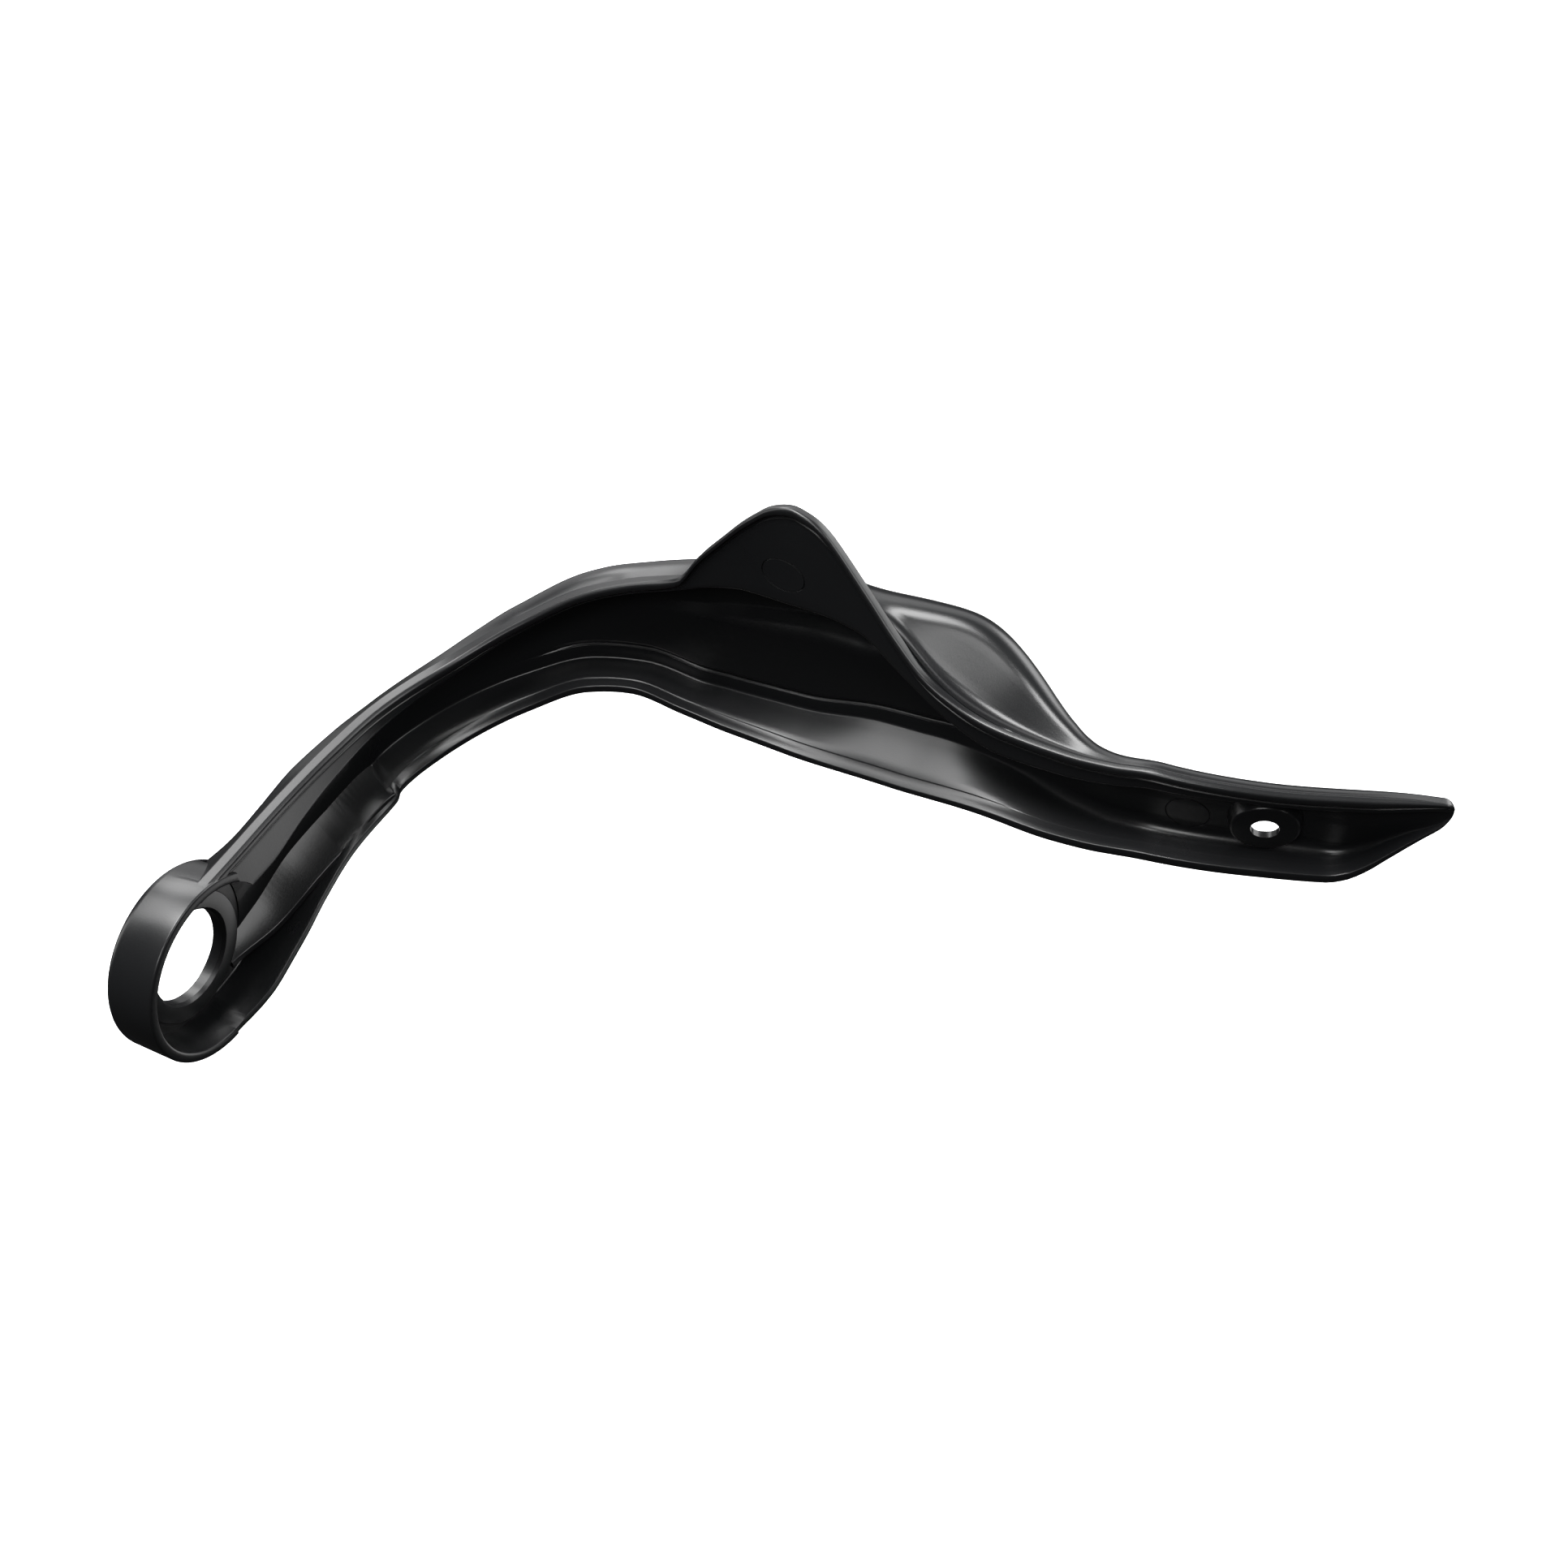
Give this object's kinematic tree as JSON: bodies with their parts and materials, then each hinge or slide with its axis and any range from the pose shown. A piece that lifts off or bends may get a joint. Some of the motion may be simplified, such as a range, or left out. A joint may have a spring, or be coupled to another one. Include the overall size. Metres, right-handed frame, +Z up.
{
  "type": "motorcycle hand guard",
  "caption": "Moulded hand guard: a bar-end cup on a channelled arm that turns into a curved shield with an upright fin, an outer scoop and an inner screw boss.",
  "frame": {"origin": "centre of the bar-end hole on the seat face inside the cup", "axes": "+X along the handlebar towards the middle of the motorcycle, +Y forwards away from the rider, +Z up"},
  "size_m": [0.2727, 0.1519, 0.1171],
  "materials": {
    "shell": "satin black moulded"
  },
  "bodies": {
    "root": {"hand_guard": "shell"}
  },
  "joints": []
}
